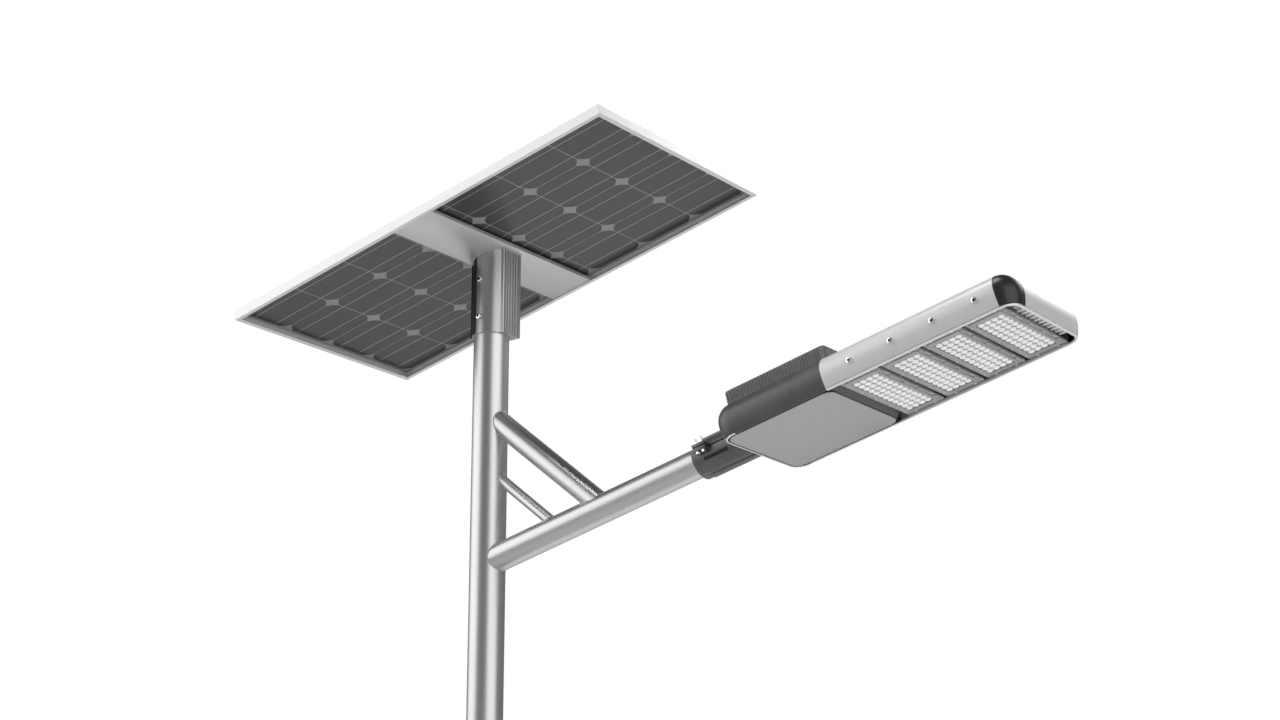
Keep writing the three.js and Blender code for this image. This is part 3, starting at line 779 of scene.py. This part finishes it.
def corner_caps():
    near = meet(twin(shell), block(AHEAD, (-200, -CAP_Y - GAP), ABOVE_TRIM))
    place(near, "cap_near", ARM, "lamp_head", "cap", "corner_cap_near")
    far = meet(twin(shell_outer), block(AHEAD, (FAR_CAP_Y + GAP, 200), ABOVE_TRIM))
    join(far, meet(shell_solid(SHELL_T + GAP), block(AHEAD, (LINER_Y, 200), ABOVE_TRIM)))
    cut(far, shell_solid(SHELL_T + GAP + LINER_T))
    place(far, "cap_far", ARM, "lamp_head", "black_and_painted_shade", "corner_cap_far")


def front_wall():
    front = meet(twin(shell), block(AHEAD, (-CAP_Y, FAR_CAP_Y), ABOVE_TRIM))
    for i in range(RIBS):
        y = (i - (RIBS - 1) / 2) * RIB_PITCH
        rib = [(1551, y - 1), (1590, y - 11), (1590, y + 11), (1551, y + 1)]
        join(front, meet(prism(rib, -44, 32), twin(shell_outer)))
    join(front, meet(block((1551, 1592), (-CAP_Y, CAP_Y), (-36, -33)), twin(shell_outer)))
    place(front, "front", ARM, "lamp_head", "silver", "front_wall")


def battery_cover():
    """Ribs run up the sides and fade out over the rounded edge of the top."""
    low, high = span(ARM, "battery_cover")
    pitch, depth, per_rib = 8.0, 2.4, 8
    base_outline = rounded((low.x, high.x), (low.y, high.y), 12, 10)
    lengths = [0.0]
    loop = base_outline + base_outline[:1]
    for a, b in zip(loop, loop[1:]):
        lengths.append(lengths[-1] + math.dist(a, b))
    ribs = round(lengths[-1] / pitch)
    count = ribs * per_rib

    def ring(inset, n, share):
        points = []
        k = 0
        for i in range(count):
            at = lengths[-1] * i / count
            while lengths[k + 1] < at:
                k += 1
            f = (at - lengths[k]) / max(lengths[k + 1] - lengths[k], 1e-9)
            a, b = Vector(loop[k]), Vector(loop[k + 1])
            point = a.lerp(b, f)
            along = (b - a).normalized() if (b - a).length > 1e-6 else Vector((1, 0))
            inward = Vector((-along.y, along.x))
            groove = depth * share * (0.5 - 0.5 * math.cos(math.tau * i / per_rib)) ** 0.6
            point = point + inward * (inset + groove)
            points.append((point.x, point.y, n))
        return points

    soft, steps = 4, 6
    rings = [ring(0, low.z, 1), ring(0, high.z - soft * 2, 1)]
    for step in range(1, steps + 1):
        a = step / steps * math.pi / 2
        n = high.z - soft + soft * math.sin(a) if step > 1 else high.z - soft * 0.9
        rings.append(ring(soft * (1 - math.cos(a)), n, 1 - step / steps))
    made = loft(rings)
    cut(made, slab((low.x + 6, high.x - 6), (low.y + 6, high.y - 6), (30, high.z - 2.5), 9, 0.5))
    place(made, "battery_lid", ARM, "lamp_head", "lid", "battery_cover", smooth=50)


def controller():
    low, high = span(ARM, "charge_controller")
    case = slab((low.x + 12, high.x), (low.y, high.y), (low.z, high.z), 4, 1)
    for i in range(9):
        y = low.y + 10 + i * 10
        cut(case, block((low.x + 30, high.x - 8), (y, y + 4), (low.z - 1, low.z + 4)))
    join(case, block((low.x, low.x + 12.5), (low.y + 10, high.y - 10), (4, 24), 0.8))
    place(case, "controller", ARM, "lamp_head", "label", "charge_controller")


def terminals():
    low, high = span(ARM, "terminal_block")
    strip = slab((low.x, high.x), (low.y, high.y), (low.z, high.z), 1.5, 0.5)
    for i in range(7):
        y = low.y + 10 + i * 10
        cut(strip, bar("z", 2.6, low.z - 1, low.z + 6, (low.x + 10, y, 0), segments=24))
        cut(strip, block((low.x - 1, low.x + 6), (y - 2.5, y + 2.5), (low.z + 8, low.z + 14)))
    place(strip, "terminals", ARM, "lamp_head", "black_plastic", "terminal_block")


def battery():
    pack = slab_of(ARM, "battery_pack", 6, 2)
    cut(pack, block((955, 963), (-200, 200), (60, 80)))
    place(pack, "battery", ARM, "lamp_head", "battery", "battery_pack")


# ---- LED modules -------------------------------------------------------------
MODULE_HALF = (49, 152)
WINDOW_HALF = (33, 127.7)
LENSES = (4, 12)
LENS_PITCH = (16.6, 20.8)
DOME_R, DOME_N, DOME_H = (7.4, 8.6), -43.8, 4.2
SCREW_Y = [(i - 2) * 61.6 for i in range(5)]
FINS, FIN_PITCH = 12, 25


def pan_screw(at, n, radius=3.0, height=2.0):
    """Small pan head facing down, with a cross recess."""
    x, y = at
    head = lathe([(0.01, n), (radius, n), (radius, n - height * 0.5), (radius * 0.75, n - height * 0.85),
                  (0.01, n - height)], "z", (x, y, 0), 24)
    for size in ((0.5, 1.9), (1.9, 0.5)):
        recess = (n - height - 1, n - height * 0.5)
        cut(head, block((x - size[0], x + size[0]), (y - size[1], y + size[1]), recess))
    return head


def lens_dome(x, y):
    """Low oval dome facing down, with a short skirt that stands in the plate."""
    steps, sides = 9, 28
    rings = []
    for step in range(steps):
        a = step / steps * math.pi / 2
        wide, n = math.cos(a), DOME_N - DOME_H * math.sin(a)
        rings.append([(x + DOME_R[0] * wide * math.cos(t), y + DOME_R[1] * wide * math.sin(t), n)
                      for t in (math.tau * j / sides for j in range(sides))])
    skirt = [(px, py, -43.0) for px, py, _ in rings[0]]
    return loft([skirt, *rings])


def lens_plate(s):
    """Clear plate, and the field of domes that stands on its window."""
    win_s, win_y = WINDOW_HALF
    plate = slab((s - 38.5, s + 38.5), (-133, 133), (-42.3, -40.2), 4, 0.3)
    join(plate, slab((s - win_s, s + win_s), (-win_y, win_y), (-44, -41.5), 5, 0.6))
    domes = [lens_dome(s + (i - (LENSES[0] - 1) / 2) * LENS_PITCH[0],
                       (k - (LENSES[1] - 1) / 2) * LENS_PITCH[1])
             for i in range(LENSES[0]) for k in range(LENSES[1])]
    return plate, gather("domes", domes)


def module_frame(s):
    half_s, half_y = MODULE_HALF
    win_s, win_y = WINDOW_HALF
    body = slab((s - half_s, s + half_s), (-half_y, half_y), (-43.2, -38.3), 7, 0.6)
    raised = slab((s - half_s + 3.5, s + win_s + 6.5), (-win_y - 13, win_y + 13), (-45.5, -42), 9, 1.4)
    join(body, raised)
    for y in SCREW_Y:
        if abs(y) < 100:
            step = slab((s + win_s + 7, s + half_s - 1.5), (y - 25, y + 25), (-45, -42), 1.5, 0.6)
        else:
            step = block((s + win_s + 7, s + half_s - 2), (y - 14, y + 14), (-45, -42), 0.5)
        join(body, step)
        cut(body, bar("z", 4.2, -50, -43.6, (s - half_s + 5.5, y, 0), segments=32))
    window = slab((s - win_s - 0.4, s + win_s + 0.4), (-win_y - 0.4, win_y + 0.4), (-50, -30), 5.4, 0.1)
    cut(body, window)
    cut(body, block((s - 39, s + 39), (-133.5, 133.5), (-42.6, -30)))
    return body


def modules():
    half_s, half_y = MODULE_HALF
    for k in MODULES:
        low, high = span(ARM, f"module_frame_{k}")
        s = (low.x + high.x) / 2
        place(module_frame(s), f"bezel_{k}", ARM, "lamp_head", "module", f"module_frame_{k}")
        heads = [pan_screw((s - half_s + 5.5, y), -43.9, 3.2, 2.8) for y in SCREW_Y]
        heads += [pan_screw((s + ds, dy * (half_y - 5)), -43.3) for ds in (-26, 26) for dy in (-1, 1)]
        place(gather("heads", heads), f"bezel_screws_{k}", ARM, "lamp_head", "stainless")
        plate, domes = lens_plate(s)
        lens = place(plate, f"lens_{k}", ARM, "lamp_head", "lens", f"lens_plate_{k}")
        lens.visible_shadow = False
        place(domes, f"lens_domes_{k}", ARM, "lamp_head", "dome").visible_shadow = False
        board = slab((s - 36, s + 36), (-131, 131), (-39.9, -38.3), 2, 0.2)
        place(board, f"board_{k}", ARM, "lamp_head", "board", f"led_board_{k}")
        place(heat_sink(s, k), f"sink_{k}", ARM, "lamp_head", "sink", f"heatsink_{k}")
        for side, tag in SIDES:
            node = f"rail_screw_{tag}_{k}"
            low, high = span(ARM, node)
            socket_screw(node.replace("rail_", ""), ARM, "lamp_head", (s, (low.z + high.z) / 2), side,
                         (7, high.y if side > 0 else -low.y, 171.4), node, (2.8, 153))


def heat_sink(s, k):
    half_s, half_y = MODULE_HALF
    made = slab((s - half_s, s + half_s), (-half_y, half_y), (-38, -33), 4, 0.5)
    top = span(ARM, f"heatsink_{k}")[1].z
    for i in range(FINS):
        y = (i - (FINS - 1) / 2) * FIN_PITCH
        rings = []
        for thin, n, inset in [(2.6, -34, 0), (1.6, -31, 0), (1.3, top - 1, 0), (0.9, top, 0.6)]:
            ends = (s - half_s + inset, s + half_s - inset)
            rings.append([(ends[0], y - thin, n), (ends[1], y - thin, n),
                          (ends[1], y + thin, n), (ends[0], y + thin, n)])
        join(made, loft(rings))
    screw_n = span(ARM, f"rail_screw_near_{k}")
    n = (screw_n[0].z + screw_n[1].z) / 2
    for side in (-1, 1):
        ends = sorted((side * 137, side * 166.6))
        join(made, block((s - 9, s + 9), ends, (n - 8, n + 8), 1))
        cut(made, bar("y", 3, *sorted((side * 151, side * 170)), (s, 0, n), segments=32))
    return made


# ---- spigot ------------------------------------------------------------------
SLEEVE_R, SLEEVE_BORE = 44, 35.2
SADDLE_END = 799.4
CLAMP_BOLTS = ("clamp_bolt_rear", "clamp_bolt_front")
SLOT = (690, 757), (-60, -30), (-19, -11)


def clamp_spots():
    bolts = [span(ARM, node) for node in CLAMP_BOLTS]
    return [((low.x + high.x) / 2, (low.y + high.y) / 2) for low, high in bolts]


def clamp_holes():
    return [bar("z", 3.3, -20, 60, (x, y, 0), segments=32) for x, y in clamp_spots()]


def ear(n):
    return block((674, 710), (-60, -40), n, 1)


def sleeve():
    low, high = span(ARM, "spigot_sleeve")
    made = bar("x", SLEEVE_R, low.x, high.x, edge=1.5)
    join(made, block((low.x + 22, high.x), (-9, 9), (-47, -20), 1.2), ear((3, 11)))
    cut(made, block((600, SADDLE_END + GAP), (-100, 100), (11, 100)))
    cut(made, bar("x", SLEEVE_BORE, 600, 900))
    cut(made, block(*SLOT))
    cut(made, block((713, 820), (-60, -30), (8, 12)))
    cut(made, *clamp_holes())
    cut(made, shell_solid(-GAP))
    place(made, "sleeve", ARM, "lamp_head", "sleeve", "spigot_sleeve")


# Painted shade: near-black fills, 1 mm below the sleeve's surface, in the clamp slot and in the slit under
# the saddle.
def slot_shade_fills():
    made = block(*(grown(pair, -GAP / 2) for pair in SLOT))
    join(made, block((713.2, 799), (-60, -30), (8.1, 12.9)))
    meet(made, bar("x", SLEEVE_R - 1, 600, 900))
    cut(made, bar("x", SLEEVE_BORE + 0.4, 600, 900))
    place(made, "slot_shade_fills", ARM, "lamp_head", "black_and_painted_shade")


def saddle():
    start = span(ARM, "spigot_sleeve")[0].x + 6
    made = meet(bar("x", SLEEVE_R, start, SADDLE_END, edge=1.5), block((600, 900), (-100, 100), (13, 100)))
    join(made, block((672, SADDLE_END), (-13, 13), (30, 48), 1.2), ear((13, 21)))
    cut(made, bar("x", SLEEVE_BORE, 600, 900))
    cut(made, *clamp_holes())
    place(made, "saddle", ARM, "lamp_head", "sleeve", "spigot_saddle")


def clamp_bolts():
    for (x, y), node in zip(clamp_spots(), CLAMP_BOLTS):
        threads = [(2.85 + 0.15 * (i % 2), 27 + 0.5 * i) for i in range(17)]
        stud = lathe([(0.01, -2), (2.9, -2), (2.9, 27), *threads, (2.4, 36), (0.01, 36)], "z", (x, y, 0), 32)
        for n in ((-3.4, 2.7), (21.3, 27)):
            join(stud, hex_nut((x, y), n, 6))
        place(stud, node, ARM, "lamp_head", "stainless")
        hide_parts(node)


def hex_nut(at, n, radius):
    """Hexagon whose corners are turned off at both faces."""
    x, y = at
    body = bar("z", radius, n[0], n[1], (x, y, 0), segments=6)
    return meet(body, bar("z", radius, n[0], n[1], (x, y, 0), 0.9, 48))


# ---- gear door ---------------------------------------------------------------
def gear_door():
    low, high = span(ARM, "door_plate")
    made = slab((low.x, high.x), (low.y, high.y), (RIM_N, -45), 25, 0.8, 16)
    x, n = hinge_axis.x, hinge_axis.z
    for y in (-110, 110):
        join(made, block((x - 5.5, x + 5.5), (y - 8, y + 8), (-46, -33), 0.8))
    cut(made, bar("y", HINGE_R + 0.1, -130, 130, (x, 0, n), segments=32))
    place(made, "door", ARM, "gear_door", "door", "door_plate")


def hinge_rod():
    low, high = span(ARM, "door_hinge_rod")
    rod = bar("y", HINGE_R, low.y, high.y, (hinge_axis.x, 0, hinge_axis.z), 0.6, 32)
    place(rod, "hinge_rod", ARM, "gear_door", "stainless", "door_hinge_rod")


def door_catch():
    catch = slab_of(ARM, "door_catch", 2, 0.8)
    place(catch, "catch", ARM, "gear_door", "stainless", "door_catch")


def door_seal():
    low, high = span(ARM, "door_gasket")
    seal = slab((low.x, high.x), (low.y, high.y), (low.z, high.z), 6, 0.9)
    cut(seal, slab((low.x + 5, high.x - 5), (low.y + 5, high.y - 5), (-50, -40), 3, 0.2))
    place(seal, "seal", ARM, "gear_door", "rubber", "door_gasket")


pole()
base()
arm()
collar()
collar_painted_shade()
collar_weld()
collar_screws()
cross_strip()
panel_frame()
laminate()
cover_glass()
cable_box()
rear_housing()
slope_band()
rim_trim()
rim_ledge()
door_gap_shade()
hinge_pin_end()
side_rails()
corner_caps()
front_wall()
battery_cover()
controller()
terminals()
battery()
modules()
sleeve()
slot_shade_fills()
saddle()
clamp_bolts()
gear_door()
hinge_rod()
door_catch()
door_seal()
for tool in (shell, shell_outer, shell_inner):
    bpy.data.objects.remove(tool)


# ---- studio ------------------------------------------------------------------
def direction(azimuth, elevation):
    """From the object towards a place: azimuth 0 is -Y, 90 is +X."""
    a, e = math.radians(azimuth), math.radians(elevation)
    return Vector((math.sin(a) * math.cos(e), -math.cos(a) * math.cos(e), math.sin(e)))


def softbox(name, azimuth, elevation, distance, size, radiance, aim=Vector((0.6, 0, 3.4))):
    light = bpy.data.lights.new(name, "AREA")
    light.shape = "RECTANGLE"
    light.size, light.size_y = size
    light.energy = radiance * math.pi * size[0] * size[1]
    made = bpy.data.objects.new(name, light)
    bpy.context.scene.collection.objects.link(made)
    away = direction(azimuth, elevation)
    made.location = aim + away * distance
    made.rotation_mode = "QUATERNION"
    made.rotation_quaternion = away.to_track_quat("Z", "Y")
    made.visible_camera = False


def paper_floor():
    floor = lathe([(0.01, -40), (60000, -40), (60000, 0), (0.01, 0)], segments=128)
    moved(floor, Matrix.Scale(MM, 4) @ Matrix.Translation((0, 0, -0.5)))
    floor.name = "floor"
    paper = finish_of("studio_floor", 0.78, 0.8, (0.6, 0.7), 0.0, 0.6, Emission_Color=(1, 1, 1, 1))
    reach = shade(paper.node_tree, "ShaderNodeVectorMath", operation="LENGTH")
    glow = shade(paper.node_tree, "ShaderNodeMapRange", interpolation_type="SMOOTHSTEP")
    for socket, value in [("From Min", 5), ("From Max", 14), ("To Min", 0), ("To Max", 0.36)]:
        glow.inputs[socket].default_value = value
    spot = shade(paper.node_tree, "ShaderNodeTexCoord")
    link = paper.node_tree.links.new
    link(spot.outputs["Object"], reach.inputs[0])
    link(reach.outputs["Value"], glow.inputs["Value"])
    link(glow.outputs["Result"], paper.node_tree.nodes["Principled BSDF"].inputs["Emission Strength"])
    floor.data.materials.append(paper)


def lights():
    """Each light's azimuth, elevation, distance, size and radiance."""
    softbox("left_softbox", -58, 18, 7, (8.4, 6.2), 1.5)
    softbox("right_softbox", 76, 16, 7, (8.4, 6), 1.5)
    softbox("rear_softbox", 172, 35, 7, (4.4, 2.1), 3)
    softbox("top_softbox", -30, 74, 6, (3, 3), 6.5)
    softbox("floor_card", 0, -90, 3.3, (7, 7), 0.42, Vector((0.2, 4, 3.38)))


def surroundings():
    """White to the camera, dim grey to everything else."""
    world = bpy.data.worlds.new("studio")
    bpy.context.scene.world = world
    world.use_nodes = True
    tree = world.node_tree
    tree.nodes.clear()
    link = tree.links.new
    seen = shade(tree, "ShaderNodeBackground")
    seen.inputs["Color"].default_value = (1, 1, 1, 1)
    lit = shade(tree, "ShaderNodeBackground")
    where = shade(tree, "ShaderNodeTexCoord")
    parts = shade(tree, "ShaderNodeSeparateXYZ")
    ramp = shade(tree, "ShaderNodeValToRGB")
    height = shade(tree, "ShaderNodeMapRange")
    height.inputs["From Min"].default_value = -1
    link(where.outputs["Generated"], parts.inputs["Vector"])
    link(parts.outputs["Z"], height.inputs["Value"])
    link(height.outputs["Result"], ramp.inputs["Fac"])
    ramp.color_ramp.elements[0].color = grey(0.2)
    ramp.color_ramp.elements[1].color = grey(0.1)
    ramp.color_ramp.elements[0].position = 0.45
    link(ramp.outputs["Color"], lit.inputs["Color"])
    path = shade(tree, "ShaderNodeLightPath")
    blend = shade(tree, "ShaderNodeMixShader")
    link(path.outputs["Is Camera Ray"], blend.inputs["Fac"])
    link(lit.outputs["Background"], blend.inputs[1])
    link(seen.outputs["Background"], blend.inputs[2])
    link(blend.outputs["Shader"], shade(tree, "ShaderNodeOutputWorld").inputs["Surface"])
    bpy.context.scene.view_settings.view_transform = "Standard"


CAMERA_AT, CAMERA_LENS = (3.8175, -4.6373, 1.8024), 70.3
CAMERA_BACK = (35.9, -16.96)  # azimuth and elevation of the way its back faces: it looks up


def camera():
    data = bpy.data.cameras.new("camera")
    data.sensor_width, data.lens = 36, CAMERA_LENS
    data.clip_end = 200
    made = bpy.data.objects.new("camera", data)
    bpy.context.scene.collection.objects.link(made)
    made.location = CAMERA_AT
    made.rotation_mode = "QUATERNION"
    made.rotation_quaternion = direction(*CAMERA_BACK).to_track_quat("Z", "Y")
    bpy.context.scene.camera = made


paper_floor()
lights()
surroundings()
camera()
